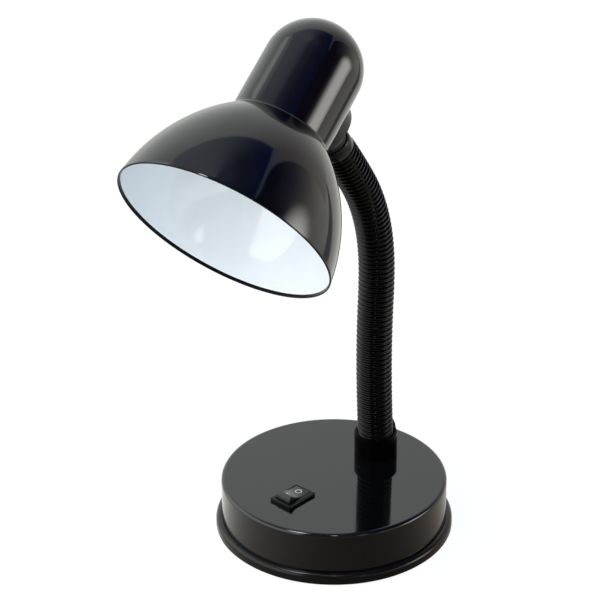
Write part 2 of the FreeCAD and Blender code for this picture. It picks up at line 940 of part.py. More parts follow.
def holder_screws():
    screws = []
    for y in (-holder_screw_spacing / 2, holder_screw_spacing / 2):
        shank = disc(holder_screw, bracket_top - holder_screw_length, bracket_top, 0, y)
        head = disc(holder_screw_head, bracket_top, bracket_top + holder_screw_height, 0, y)
        screws.append(shank.fuse(head))
    return on_head(Part.makeCompound(screws))


def holder_leads():
    # two cores from the cable's end up the lampholder's side to its cap
    middle = (nipple_inside + holder_cap_radius) / 2
    high = holder_top - holder_cap_height / 2
    leads = []
    for x in (-cable_radius / 2, cable_radius / 2):
        side = math.sqrt(holder_cap_radius ** 2 - x ** 2) + seat_play
        leads.append(soft_wire([
            (x, nipple_inside - core_radius / 2, arm_height),
            (x, middle, arm_height + core_radius / 2),
            (x, middle, high),
            (x, side + core_radius / 2, high + core_radius / 2),
        ], core_radius))
    return on_head(Part.makeCompound(leads))


cap_top = contact_face - contact_thick
throat_angle = math.acos(bulb_throat / bulb_radius)
throat_height = cap_top - bulb_cap_length - bulb_neck
bulb_centre = throat_height - bulb_radius * math.sin(throat_angle)


def bulb_glass():
    cap_foot = cap_top - bulb_cap_length
    middle_angle = (throat_angle - math.pi / 2) / 2
    glass = turned((0, bulb_centre - bulb_radius), [
        (bulb_radius * math.cos(middle_angle), bulb_centre + bulb_radius * math.sin(middle_angle),
         bulb_throat, throat_height),
        (bulb_cap_radius, cap_foot),
        (0, cap_foot),
    ])
    return on_head(glass)


def bulb_cap():
    low = cap_top - bulb_cap_length
    shoulder = cap_top - bulb_tip_height
    cap = turned((0, low), [
        (bulb_cap_radius, low),
        (bulb_cap_radius, shoulder - bulb_tip_height),
        (bulb_tip_radius, shoulder),
        (bulb_tip_radius, cap_top),
        (0, cap_top),
    ])
    return on_head(cap)


nodes = {
    "base_cover": base_cover, "base_tray": base_tray, "ballast_weight": ballast_weight,
    "foot_pad": foot_pad, "cover_pillars": cover_pillars, "tray_screws": tray_screws,
    "inlet_grommet": inlet_grommet, "switch_housing": switch_housing,
    "switch_terminals": switch_terminals, "switch_rocker": switch_rocker,
    "terminal_block": terminal_block, "block_screws": block_screws, "base_leads": base_leads,
    "neck_collar": neck_collar, "collar_screw": collar_screw,
    "neck_base_fitting": neck_base_fitting, "neck_washer": neck_washer, "neck_nut": neck_nut,
    "neck_top_fitting": neck_top_fitting, "neck_sleeve": neck_sleeve, "neck_cable": neck_cable,
    "end_ferrule": end_ferrule, "shade": shade, "shade_saddle": shade_saddle,
    "swivel_washer": swivel_washer, "swivel_nipple": swivel_nipple, "swivel_nut": swivel_nut,
    "swivel_retainer": swivel_retainer, "inner_saddle": inner_saddle,
    "holder_bracket": holder_bracket, "lampholder_cap": lampholder_cap,
    "lampholder_body": lampholder_body, "lampholder_shell": lampholder_shell,
    "centre_contact": centre_contact, "holder_screws": holder_screws,
    "holder_leads": holder_leads, "bulb_glass": bulb_glass, "bulb_cap": bulb_cap,
}

os.makedirs("parts", exist_ok=True)
for name, make in nodes.items():
    make().exportStep("parts/" + name + ".step")
for link in range(1, link_count):
    neck_conduit(link).exportStep("parts/neck_conduit_" + str(link) + ".step")
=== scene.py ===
import json
import math

import bmesh
import bpy
from mathutils import Matrix, Vector

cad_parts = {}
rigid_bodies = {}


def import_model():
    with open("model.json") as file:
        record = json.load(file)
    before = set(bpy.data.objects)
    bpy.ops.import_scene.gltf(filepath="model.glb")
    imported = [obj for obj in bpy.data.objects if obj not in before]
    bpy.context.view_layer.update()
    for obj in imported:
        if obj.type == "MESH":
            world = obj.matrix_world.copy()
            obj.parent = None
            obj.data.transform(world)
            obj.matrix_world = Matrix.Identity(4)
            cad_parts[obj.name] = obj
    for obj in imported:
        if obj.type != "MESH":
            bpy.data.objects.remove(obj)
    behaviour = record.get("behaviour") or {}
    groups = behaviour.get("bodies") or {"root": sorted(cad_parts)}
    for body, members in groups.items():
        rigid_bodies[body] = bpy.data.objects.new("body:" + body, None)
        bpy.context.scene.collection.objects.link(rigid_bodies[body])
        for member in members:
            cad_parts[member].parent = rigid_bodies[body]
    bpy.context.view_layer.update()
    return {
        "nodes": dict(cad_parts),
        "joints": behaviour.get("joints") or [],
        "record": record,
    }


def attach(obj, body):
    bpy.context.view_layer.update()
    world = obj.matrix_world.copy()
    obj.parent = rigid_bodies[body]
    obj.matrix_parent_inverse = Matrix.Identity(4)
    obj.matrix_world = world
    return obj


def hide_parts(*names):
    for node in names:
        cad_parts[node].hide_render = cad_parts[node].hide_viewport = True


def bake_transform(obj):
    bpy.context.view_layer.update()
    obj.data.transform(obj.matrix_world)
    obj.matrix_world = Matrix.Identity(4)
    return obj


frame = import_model()
cadNodes = frame["nodes"]
scene = bpy.context.scene
mm = 0.001    # sizes below are in millimetres, meshes in metres
for leftOver in [item for item in bpy.data.objects if item.name in ("Cube", "Light", "Camera")]:
    bpy.data.objects.remove(leftOver)
print("frame loaded:", len(cadNodes), "nodes")


# profiles: lists of (radius, height) in mm
def arcThrough(start, middle, end, steps):
    # points after start, up to end, on the circle through the three
    (ax, ay), (bx, by), (cx, cy) = start, middle, end
    span = 2 * (ax * (by - cy) + bx * (cy - ay) + cx * (ay - by))
    aa, bb, cc = ax * ax + ay * ay, bx * bx + by * by, cx * cx + cy * cy
    x = (aa * (by - cy) + bb * (cy - ay) + cc * (ay - by)) / span
    y = (aa * (cx - bx) + bb * (ax - cx) + cc * (bx - ax)) / span
    radius = math.hypot(ax - x, ay - y)
    first = math.atan2(ay - y, ax - x)
    turn = (math.atan2(cy - y, cx - x) - first) % math.tau
    halfWay = (math.atan2(by - y, bx - x) - first) % math.tau
    if halfWay > turn:
        turn -= math.tau
    angles = [first + turn * k / steps for k in range(1, steps + 1)]
    return [(x + radius * math.cos(a), y + radius * math.sin(a)) for a in angles]


def roundedCorner(before, corner, after, radius, steps=4):
    # the points of a rounded corner between two straight runs
    corner = Vector(corner)
    toBefore = (Vector(before) - corner).normalized()
    toAfter = (Vector(after) - corner).normalized()
    half = toBefore.angle(toAfter) / 2
    reach = radius / math.tan(half)
    entry, leave = corner + toBefore * reach, corner + toAfter * reach
    centre = corner + (toBefore + toAfter).normalized() * (radius / math.sin(half))
    middle = centre + (corner - centre).normalized() * radius
    return [tuple(entry)] + arcThrough(tuple(entry), tuple(middle), tuple(leave), steps)


def roundedLoop(corners, radius):
    # a closed outline with every corner rounded alike, or by its own third number
    outline = []
    count = len(corners)
    for k, corner in enumerate(corners):
        own = corner[2] if len(corner) > 2 else radius
        outline += roundedCorner(corners[k - 1][:2], corner[:2], corners[(k + 1) % count][:2], own)
    return outline


def turned(outline, steps, closed=True):
    # spins an outline about Z; an open one starts and ends on the axis
    bm = bmesh.new()
    verts = [bm.verts.new((r * mm, 0, h * mm)) for r, h in outline]
    ends = verts[1:] + ([verts[0]] if closed else [])
    edges = [bm.edges.new(pair) for pair in zip(verts, ends)]
    bmesh.ops.spin(bm, geom=verts + edges, cent=(0, 0, 0), axis=(0, 0, 1), angle=math.tau,
                   steps=steps, use_merge=True)
    bmesh.ops.remove_doubles(bm, verts=bm.verts, dist=mm / 500)
    bmesh.ops.recalc_face_normals(bm, faces=bm.faces)
    return bm


def makeObject(bm, name, finishes, sharpAngle):
    mesh = bpy.data.meshes.new(name)
    bm.to_mesh(mesh)
    bm.free()
    for finish in finishes:
        mesh.materials.append(finish)
    mesh.shade_smooth()
    mesh.set_sharp_from_angle(angle=math.radians(sharpAngle))
    piece = bpy.data.objects.new(name, mesh)
    scene.collection.objects.link(piece)
    return piece


def standFor(bm, name, finishes, body, node, place=None, sharpAngle=40):
    # finishes a rigid piece, in place of one node
    if place is not None:
        bm.transform(place)
    piece = makeObject(bm, name, finishes, sharpAngle)
    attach(piece, body)
    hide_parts(node)
    return piece


# finishes
def newFinish(name, settings):
    # a Principled finish, its constants on the shader's own sockets
    finish = bpy.data.materials.new(name)
    finish.use_nodes = True
    shader = finish.node_tree.nodes["Principled BSDF"]
    for socket, value in settings.items():
        shader.inputs[socket].default_value = value
    return finish


def objectNoise(finish, scale, detail, stretch=(1, 1, 1)):
    nodes, links = finish.node_tree.nodes, finish.node_tree.links
    place = nodes.new("ShaderNodeTexCoord")
    mapping = nodes.new("ShaderNodeMapping")
    mapping.inputs["Scale"].default_value = stretch
    noise = nodes.new("ShaderNodeTexNoise")
    noise.inputs["Scale"].default_value = scale
    noise.inputs["Detail"].default_value = detail
    links.new(place.outputs["Object"], mapping.inputs["Vector"])
    links.new(mapping.outputs["Vector"], noise.inputs["Vector"])
    return noise.outputs["Fac"]


def addBump(finish, scale, depth, detail=2.0, stretch=(1, 1, 1)):
    nodes, links = finish.node_tree.nodes, finish.node_tree.links
    bump = nodes.new("ShaderNodeBump")
    bump.inputs["Distance"].default_value = depth
    links.new(objectNoise(finish, scale, detail, stretch), bump.inputs["Height"])
    links.new(bump.outputs["Normal"], nodes["Principled BSDF"].inputs["Normal"])


def addMottle(finish, socket, scale, low, high, detail=3.0, stretch=(1, 1, 1), edges=(0.35, 0.65)):
    # noise between two values, numbers or colours, into a socket
    nodes, links = finish.node_tree.nodes, finish.node_tree.links
    ramp = nodes.new("ShaderNodeValToRGB")
    for k, value in enumerate((low, high)):
        stop = ramp.color_ramp.elements[k]
        stop.position = edges[k]
        stop.color = (*value, 1) if isinstance(value, tuple) else (value, value, value, 1)
    links.new(objectNoise(finish, scale, detail, stretch), ramp.inputs["Fac"])
    links.new(ramp.outputs["Color"], nodes["Principled BSDF"].inputs[socket])


glossBlack = newFinish("gloss_black_enamel", {"Roughness": 0.06, "IOR": 1.56})
addMottle(glossBlack, "Base Color", 1100, (0.002, 0.002, 0.0026), (0.07, 0.07, 0.07), 1.0,
          edges=(0.80, 0.83))
addMottle(glossBlack, "Roughness", 30, 0.05, 0.085)
addBump(glossBlack, 260, 0.000004)

shadeWhite = newFinish("white_enamel", {"IOR": 1.5, "Coat Weight": 0.6, "Coat Roughness": 0.05,
                                        "Coat IOR": 1.9})
addMottle(shadeWhite, "Base Color", 4, (0.872, 0.904, 0.932), (0.875, 0.907, 0.935), 0.0)
addMottle(shadeWhite, "Roughness", 300, 0.285, 0.29, 1.0)

rimBlack = newFinish("rim_black", {"IOR": 1.42, "Specular IOR Level": 0.15})
addMottle(rimBlack, "Base Color", 90, (0.0015, 0.0015, 0.0018), (0.003, 0.003, 0.0035))
addMottle(rimBlack, "Roughness", 110, 0.2, 0.28)

trayBlack = newFinish("moulded_black", {"IOR": 1.42, "Specular IOR Level": 0.4})
addMottle(trayBlack, "Base Color", 45, (0.0015, 0.0013, 0.001), (0.004, 0.0034, 0.003))
addMottle(trayBlack, "Roughness", 80, 0.16, 0.26)
addBump(trayBlack, 900, 0.00001)

satinBlack = newFinish("satin_black_moulding", {"IOR": 1.48})
addMottle(satinBlack, "Base Color", 70, (0.010, 0.010, 0.011), (0.017, 0.017, 0.018))
addMottle(satinBlack, "Roughness", 120, 0.3, 0.42)
addBump(satinBlack, 1400, 0.000015)

ferruleBlack = newFinish("ferrule_black", {"IOR": 1.45, "Specular IOR Level": 0.3})
addMottle(ferruleBlack, "Base Color", 80, (0.003, 0.003, 0.0034), (0.006, 0.006, 0.0064))
addMottle(ferruleBlack, "Roughness", 110, 0.2, 0.28)
addBump(ferruleBlack, 1300, 0.00001)

collarBlack = newFinish("collar_black", {"IOR": 1.4, "Specular IOR Level": 0.06})
addMottle(collarBlack, "Base Color", 90, (0.0003, 0.0003, 0.0004), (0.001, 0.001, 0.001))
addMottle(collarBlack, "Roughness", 60, 0.22, 0.32)
addBump(collarBlack, 1200, 0.00001)

hoseBlack = newFinish("hose_black", {"IOR": 1.4, "Specular IOR Level": 0.28})
addMottle(hoseBlack, "Base Color", 120, (0.0001, 0.0001, 0.0001), (0.0003, 0.0003, 0.0003))
addMottle(hoseBlack, "Roughness", 160, 0.17, 0.23)
addBump(hoseBlack, 1800, 0.00001)

switchBlack = newFinish("switch_black", {"IOR": 1.42, "Specular IOR Level": 0.28})
addMottle(switchBlack, "Base Color", 150, (0.001, 0.001, 0.001), (0.003, 0.003, 0.003))
addMottle(switchBlack, "Roughness", 150, 0.24, 0.36)
addBump(switchBlack, 2500, 0.00001)

rockerBlack = newFinish("rocker_black", {"IOR": 1.47, "Specular IOR Level": 0.5})
addMottle(rockerBlack, "Base Color", 150, (0.001, 0.001, 0.001), (0.003, 0.003, 0.003))
addMottle(rockerBlack, "Roughness", 150, 0.2, 0.28)
addBump(rockerBlack, 2500, 0.00001)

markWhite = newFinish("switch_mark", {"IOR": 1.48})
addMottle(markWhite, "Base Color", 900, (0.66, 0.67, 0.68), (0.78, 0.79, 0.80))
addMottle(markWhite, "Roughness", 500, 0.4, 0.6)

softRubber = newFinish("soft_rubber", {"Specular IOR Level": 0.25})
addMottle(softRubber, "Base Color", 60, (0.012, 0.012, 0.013), (0.028, 0.028, 0.029))
addMottle(softRubber, "Roughness", 90, 0.7, 0.9)
addBump(softRubber, 700, 0.00006)

castIron = newFinish("cast_iron", {"Metallic": 0.7})
addMottle(castIron, "Base Color", 120, (0.05, 0.047, 0.045), (0.13, 0.12, 0.115))
addMottle(castIron, "Roughness", 200, 0.55, 0.8)
addBump(castIron, 500, 0.0002)

zincSteel = newFinish("zinc_plate", {"Metallic": 1.0})
addMottle(zincSteel, "Base Color", 180, (0.52, 0.53, 0.54), (0.68, 0.68, 0.67))
addMottle(zincSteel, "Roughness", 260, 0.22, 0.38)
addBump(zincSteel, 900, 0.00001)

brassMetal = newFinish("brass", {"Metallic": 1.0})
addMottle(brassMetal, "Base Color", 160, (0.62, 0.44, 0.18), (0.78, 0.58, 0.27))
addMottle(brassMetal, "Roughness", 240, 0.2, 0.36)

leadGrey = newFinish("lead_cover", {"IOR": 1.46})
addMottle(leadGrey, "Base Color", 90, (0.10, 0.10, 0.11), (0.16, 0.16, 0.17))
addMottle(leadGrey, "Roughness", 150, 0.45, 0.6)

bakelite = newFinish("bakelite", {"IOR": 1.55})
addMottle(bakelite, "Base Color", 140, (0.012, 0.008, 0.006), (0.03, 0.02, 0.015))
addMottle(bakelite, "Roughness", 90, 0.18, 0.3)
addBump(bakelite, 800, 0.00001)

blockPlastic = newFinish("block_plastic", {"IOR": 1.46})
addMottle(blockPlastic, "Base Color", 50, (0.70, 0.70, 0.67), (0.80, 0.80, 0.77))
addMottle(blockPlastic, "Roughness", 120, 0.4, 0.55)

frostedGlass = newFinish("frosted_glass", {"IOR": 1.5, "Subsurface Weight": 0.35, "Subsurface Scale": 0.004,
                                           "Coat Weight": 0.5, "Coat Roughness": 0.08})
addMottle(frostedGlass, "Base Color", 30, (0.82, 0.82, 0.80), (0.88, 0.88, 0.86))
addMottle(frostedGlass, "Roughness", 90, 0.3, 0.45)

capMetal = newFinish("cap_metal", {"Metallic": 1.0})
addMottle(capMetal, "Base Color", 200, (0.66, 0.66, 0.67), (0.8, 0.8, 0.8))
addMottle(capMetal, "Roughness", 260, 0.2, 0.36)

nodeFinishes = {
    "cover_paint": glossBlack, "shade_paint": glossBlack, "black_plastic": satinBlack,
    "switch_plastic": switchBlack, "hose_rubber": hoseBlack, "foot_rubber": softRubber,
    "iron": castIron, "zinc_steel": zincSteel, "brass": brassMetal, "lead_cover": leadGrey,
    "bakelite": bakelite, "block_plastic": blockPlastic, "lamp_glass": frostedGlass, "cap_metal": capMetal,
}
for part in frame["record"]["subparts"]:
    for materialSlot in cadNodes[part["node"]].material_slots:
        materialSlot.material = nodeFinishes[part["material_slot"]]
for materialSlot in cadNodes["base_tray"].material_slots:
    materialSlot.material = trayBlack
print("finishes made:", len(bpy.data.materials))


# the neck's centre line: (run, lean at its end in degrees), counted from the cover's top
neck = {
    "startY": 35.6,
    "startZ": 31.6,
    "runs": [(13.5, 3.0), (27.0, 2.0), (59.5, -3.3), (20.0, 1.3), (20.0, 10.3), (40.0, 31.8), (30.2, 36.0)],
    "firstHinge": 26.0,
    "hingePitch": 26.5,
    "links": 7,
    "stiffEnd": 0.5,    # taken off a stretch's reach about its hinge
}
neckLength = sum(run for run, lean in neck["runs"])
hinges = [neck["firstHinge"] + neck["hingePitch"] * k for k in range(neck["links"])]


def neckFrame(station):
    # a frame on the neck, Z along it
    y, z, lean = neck["startY"], neck["startZ"], 0.0
    left = min(max(station, 0), neckLength)
    for run, angle in neck["runs"]:
        length = min(left, run)
        newLean = lean + (math.radians(angle) - lean) * length / run
        middle, half = (lean + newLean) / 2, (newLean - lean) / 2
        chord = length * (math.sin(half) / half if half else 1)
        y -= chord * math.sin(middle)
        z += chord * math.cos(middle)
        lean = newLean
        left -= length
        if left <= 0:
            break
    beyond = station - min(max(station, 0), neckLength)
    y -= beyond * math.sin(lean)
    z += beyond * math.cos(lean)
    return Matrix.Translation((0, y * mm, z * mm)) @ Matrix.Rotation(lean, 4, "X")


def bendOnNeck(bm):
    # takes a shape made straight on Z, its height the station, onto the neck
    frames = {}
    for vert in bm.verts:
        station = round(vert.co.z / mm, 4)
        if station not in frames:
            frames[station] = neckFrame(station)
        vert.co = frames[station] @ Vector((vert.co.x, vert.co.y, 0))


def neckStretch(outline, name, finish, steps, low, high, hinge, node):
    # one stretch of hose or cable, bent onto the neck's centre line
    reach = min(hinge - low, high - hinge, neck["hingePitch"] / 2) - neck["stiffEnd"]
    bm = turned(outline, steps)
    bendOnNeck(bm)
    piece = makeObject(bm, name, [finish], sharpAngle=60)
    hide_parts(node)
    neckFrame(hinge - reach).translation
    neckFrame(hinge + reach).translation
    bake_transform(piece)


hose = {
    "low": 2.15,
    "ribs": 69,
    "root": 9.0,
    "crest": 10.2,
    "bore": 7.4,
    "steps": 72,
    # share of the pitch, share of the rib's height
    "ribShares": [(0.0, 0.0), (0.13, 0.04), (0.21, 0.32), (0.28, 0.65), (0.37, 0.91), (0.5, 1.0),
                  (0.63, 0.91), (0.72, 0.65), (0.79, 0.32), (0.87, 0.04)],
    "cuts": [0, 12, 21, 30, 39, 48, 56, 69],
}
hosePitch = (neckLength - hose["low"]) / hose["ribs"]
for k, (first, last) in enumerate(zip(hose["cuts"], hose["cuts"][1:])):
    low, high = hose["low"] + hosePitch * first, hose["low"] + hosePitch * last
    outline = []
    for rib in range(first, last):
        for along, up in hose["ribShares"]:
            outline.append((hose["root"] + (hose["crest"] - hose["root"]) * up,
                            hose["low"] + hosePitch * (rib + along)))
    outline.append((hose["root"], high))
    boreSteps = last - first
    for step in range(boreSteps + 1):
        outline.append((hose["bore"], high + (low - high) * step / boreSteps))
    neckStretch(outline, "hose_" + str(k + 1), hoseBlack, hose["steps"],
                low, high, hinges[k], "neck_sleeve")

cable = {"radius": 2.6, "low": -11.1, "high": 242.8, "turn": 223.0, "steps": 20, "pitch": 5.0}
cableCuts = [cable["low"]] + [hose["low"] + hosePitch * cut for cut in hose["cuts"][1:-1]]
cableCuts += [neckLength, cable["high"]]
for k, (low, high) in enumerate(zip(cableCuts, cableCuts[1:])):
    count = round((high - low) / cable["pitch"])
    outline = [(0, low)]
    outline += [(cable["radius"], low + (high - low) * step / count) for step in range(count + 1)]
    outline.append((0, high))
    hinge = hinges[k] if k < neck["links"] else cable["turn"]
    neckStretch(outline, "cable_" + str(k + 1), leadGrey, cable["steps"], low, high, hinge,
                "neck_cable")
print("neck made:", len(hose["cuts"]) - 1, "stretches of hose")

# base cover: a pressed shell with a rounded edge; a narrow land beside each rounding keeps it crisp
cover = {"radius": 64.0, "top": 31.6, "wall": 0.8, "edge": 2.2, "foot": 4.4, "footEdge": 0.25, "land": 0.4,
         "footLand": 0.3, "edgeSteps": 12, "innerEdgeSteps": 6, "steps": 256}
inside = cover["radius"] - cover["wall"]
under = cover["top"] - cover["wall"]
flat = cover["radius"] - cover["edge"]
coverOutline = [(0, cover["top"]), (flat / 2, cover["top"]), (flat - cover["land"], cover["top"])]
coverOutline += roundedCorner((0, cover["top"]), (cover["radius"], cover["top"]), (cover["radius"], 0),
                              cover["edge"], cover["edgeSteps"])
coverOutline += [(cover["radius"], cover["top"] - cover["edge"] - cover["land"]),
                 (cover["radius"], cover["foot"] + cover["footLand"])]
coverOutline += roundedCorner((cover["radius"], cover["top"]), (cover["radius"], cover["foot"]),
                              (inside, cover["foot"]), cover["footEdge"])
coverOutline += [(inside, cover["foot"])]
coverOutline += roundedCorner((inside, cover["foot"]), (inside, under), (0, under),
                              cover["edge"] - cover["wall"], cover["innerEdgeSteps"])
coverOutline += [(0, under)]
standFor(turned(coverOutline, cover["steps"], closed=False), "cover_shell", [glossBlack], "base",
         "base_cover")

# collar with its raised lug at the back
collar = {"radius": 12.3, "bore": 10.7, "foot": 31.6, "height": 13.3, "edge": 0.45, "boreEdge": 0.3,
          "footEdge": 0.2, "footBoreEdge": 0.1, "lugHalf": 6.0, "lugHeight": 4.6, "lugFrom": 0.6,
          "steps": 180}
collarTop = collar["foot"] + collar["height"]
outline = roundedLoop([
    (collar["bore"], collar["foot"], collar["footBoreEdge"]),
    (collar["radius"], collar["foot"], collar["footEdge"]), (collar["radius"], collarTop),
    (collar["bore"], collarTop, collar["boreEdge"])], collar["edge"])
bm = turned(outline, collar["steps"])
for vert in bm.verts:
    x, y, z = vert.co / mm
    if y > 0 and abs(x) < collar["lugHalf"] and z > collarTop - collar["lugFrom"]:
        lift = collar["lugHeight"] - collar["lugHalf"] + math.sqrt(collar["lugHalf"] ** 2 - x * x)
        vert.co.z += max(lift, 0) * mm
standFor(bm, "collar_ring", [collarBlack], "base", "neck_collar",
         Matrix.Translation((0, neck["startY"] * mm, 0)))

# grommet of the cable inlet at the back
grommet = {"height": 19.0, "bore": 2.8, "neck": 4.2, "flange": 6.0, "lip": 1.6, "inner": 61.3, "grip": 0.35,
           "edge": 0.2, "groove": 0.1, "flangeEdge": 0.6, "mouthEdge": 0.5, "steps": 48}
wallIn, wallOut = inside - grommet["grip"], cover["radius"]
lipOut = wallOut + grommet["lip"]
outline = roundedLoop([
    (grommet["bore"], grommet["inner"]), (grommet["flange"], grommet["inner"]),
    (grommet["flange"], wallIn), (grommet["neck"], wallIn, grommet["groove"]),
    (grommet["neck"], wallOut, grommet["groove"]), (grommet["flange"], wallOut),
    (grommet["flange"], lipOut, grommet["flangeEdge"]),
    (grommet["bore"], lipOut, grommet["mouthEdge"])], grommet["edge"])
standFor(turned(outline, grommet["steps"]), "inlet_bush", [softRubber], "base", "inlet_grommet",
         Matrix.Translation((0, 0, grommet["height"] * mm)) @ Matrix.Rotation(-math.pi / 2, 4, "X"))
print("base made")

# rocker switch: bezel with its window, body below the cover
switch = {"y": -34.2, "foot": 31.6, "width": 15.0, "length": 21.0, "height": 2.0, "bodyWidth": 13.0,
          "bodyLength": 19.0, "bodyDepth": 14.0, "window": 10.8, "windowLength": 17.4, "pocket": 10.0,
          "edge": 0.55, "windowEdge": 0.25}


def faceToward(bm, direction):
    # the outermost face that looks one way
    return max(bm.faces, key=lambda face: (face.normal + face.calc_center_median()).dot(direction))


def insetTo(bm, face, width, length):
    # insets one face and sets the new rim to a width and length, in mm
    bmesh.ops.inset_individual(bm, faces=[face], thickness=mm / 2)
    for vert in face.verts:
        vert.co.x = math.copysign(width * mm / 2, vert.co.x)
        vert.co.y = math.copysign(length * mm / 2, vert.co.y)


def extrudeFace(bm, face, distance):
    made = bmesh.ops.extrude_discrete_faces(bm, faces=[face])["faces"][0]
    bmesh.ops.translate(bm, verts=made.verts, vec=(0, 0, distance * mm))
    return made


def bevelEdges(bm, edges, width, segments=3):
    bmesh.ops.bevel(bm, geom=edges, offset=width * mm, affect="EDGES", segments=segments, profile=0.5,
                    material=-1)


def edgeReach(edge, axis):
    # how far an edge reaches along one axis
    return abs(edge.verts[0].co[axis] - edge.verts[1].co[axis])


def besideWindow(edge):
    return all(abs(v.co.x) > switch["window"] * mm / 2 + nearly for v in edge.verts)


bm = bmesh.new()
bmesh.ops.create_cube(bm, size=mm)
bmesh.ops.scale(bm, verts=bm.verts, vec=(switch["width"], switch["length"], switch["height"]))
bmesh.ops.translate(bm, verts=bm.verts, vec=(0, 0, switch["height"] * mm / 2))
top, bottom = faceToward(bm, Vector((0, 0, 1))), faceToward(bm, Vector((0, 0, -1)))
insetTo(bm, top, switch["window"], switch["windowLength"])
extrudeFace(bm, top, -switch["pocket"])
insetTo(bm, bottom, switch["bodyWidth"], switch["bodyLength"])
extrudeFace(bm, bottom, -switch["bodyDepth"])
height, nearly = switch["height"] * mm, mm / 10
upper = [e for e in bm.edges if all(v.co.z > height - nearly for v in e.verts)]
outerRim = [e for e in upper if besideWindow(e) and (edgeReach(e, 0) < nearly or edgeReach(e, 1) < nearly)]
uprights = [e for e in bm.edges if besideWindow(e) and edgeReach(e, 2) > mm
            and all(v.co.z > -nearly for v in e.verts)]
bevelEdges(bm, outerRim + uprights, switch["edge"])
rimX, rimY = switch["window"] * mm / 2 + nearly, switch["windowLength"] * mm / 2 + nearly
rim = [e for e in bm.edges
       if all(v.co.z > height - nearly and abs(v.co.x) < rimX and abs(v.co.y) < rimY for v in e.verts)]
bevelEdges(bm, rim, switch["windowEdge"], 2)
bmesh.ops.recalc_face_normals(bm, faces=bm.faces)
switchPlace = Matrix.Translation((0, switch["y"] * mm, switch["foot"] * mm))
standFor(bm, "switch_bezel", [switchBlack], "base", "switch_housing", switchPlace)

# rocker: a bar with a hollow top and rounded ends, tilted on its pivot
rocker = {"reach": 7.6, "rise": 3.6, "dip": 2.1, "depth": 3.0, "width": 10.2, "pivot": 0.6, "tilt": 14.0,
          "edge": 0.35, "cornerFrom": 0.6, "hollowSteps": 16, "endSteps": 12, "pinRadius": 1.2,
          "pinReach": 6.04, "pinSteps": 24}
endArc = math.hypot(rocker["reach"], rocker["rise"])
footReach = math.sqrt(endArc ** 2 - rocker["depth"] ** 2)
front, back = (-rocker["reach"], rocker["rise"]), (rocker["reach"], rocker["rise"])
side = arcThrough(front, (0, rocker["dip"]), back, rocker["hollowSteps"])
side += arcThrough(back, (endArc, 0), (footReach, -rocker["depth"]), rocker["endSteps"])
side += [(-footReach, -rocker["depth"])]
side += arcThrough((-footReach, -rocker["depth"]), (-endArc, 0), front, rocker["endSteps"])
bm = bmesh.new()
sideVerts = [bm.verts.new((-rocker["width"] * mm / 2, y * mm, z * mm)) for y, z in side]
sideFace = bm.faces.new(sideVerts)
made = bmesh.ops.extrude_face_region(bm, geom=[sideFace])["geom"]
bmesh.ops.translate(bm, verts=[v for v in made if isinstance(v, bmesh.types.BMVert)],
                    vec=(rocker["width"] * mm, 0, 0))
bmesh.ops.recalc_face_normals(bm, faces=bm.faces)
sideEdges = [e for e in bm.edges if edgeReach(e, 0) < nearly]
bevelEdges(bm, sideEdges, rocker["edge"])
ends = [e for e in bm.edges if edgeReach(e, 0) > mm and e.calc_face_angle(0) > rocker["cornerFrom"]]
bevelEdges(bm, ends, rocker["edge"], 2)
bmesh.ops.create_cone(bm, cap_ends=True, segments=rocker["pinSteps"], radius1=rocker["pinRadius"] * mm,
                      radius2=rocker["pinRadius"] * mm, depth=2 * rocker["pinReach"] * mm,
                      matrix=Matrix.Rotation(math.pi / 2, 4, "Y"))
rockerPlace = (Matrix.Translation((0, switch["y"] * mm, (switch["foot"] + rocker["pivot"]) * mm))
               @ Matrix.Rotation(-math.radians(rocker["tilt"]), 4, "X"))
standFor(bm, "rocker_bar", [rockerBlack], "rocker", "switch_rocker", rockerPlace,
         sharpAngle=30)

# the plain on and off marks: a ring on one half, a bar on the other
marks = {"place": 4.2, "ringRadius": 1.45, "line": 0.55, "barLength": 3.4, "height": 0.12, "edge": 0.04,
         "steps": 40}
hollowDepth = rocker["rise"] - rocker["dip"]
hollowRadius = (rocker["reach"] ** 2 + hollowDepth ** 2) / (2 * hollowDepth)
markLean = math.asin(marks["place"] / hollowRadius)
markRise = rocker["dip"] + hollowRadius * (1 - math.cos(markLean))
ringOut = marks["ringRadius"] + marks["line"]
ringOutline = roundedLoop([(marks["ringRadius"], -marks["height"]), (ringOut, -marks["height"]),
                           (ringOut, marks["height"]), (marks["ringRadius"], marks["height"])],
                          marks["edge"])
ring = turned(ringOutline, marks["steps"])
ring.transform(Matrix.Translation((0, marks["place"] * mm, markRise * mm))
               @ Matrix.Rotation(markLean, 4, "X"))
ring.transform(rockerPlace)
ringPiece = makeObject(ring, "rocker_ring_mark", [markWhite], sharpAngle=40)
bar = bmesh.new()
bmesh.ops.create_cube(bar, size=mm)
bmesh.ops.scale(bar, verts=bar.verts, vec=(marks["barLength"], marks["line"], 2 * marks["height"]))
bevelEdges(bar, list(bar.edges), marks["edge"], 2)
bar.transform(Matrix.Translation((0, -marks["place"] * mm, markRise * mm))
              @ Matrix.Rotation(-markLean, 4, "X"))
bar.transform(rockerPlace)
barPiece = makeObject(bar, "rocker_bar_mark", [markWhite], sharpAngle=40)
for mark in (ringPiece, barPiece):
    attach(mark, "rocker")
print("switch made")

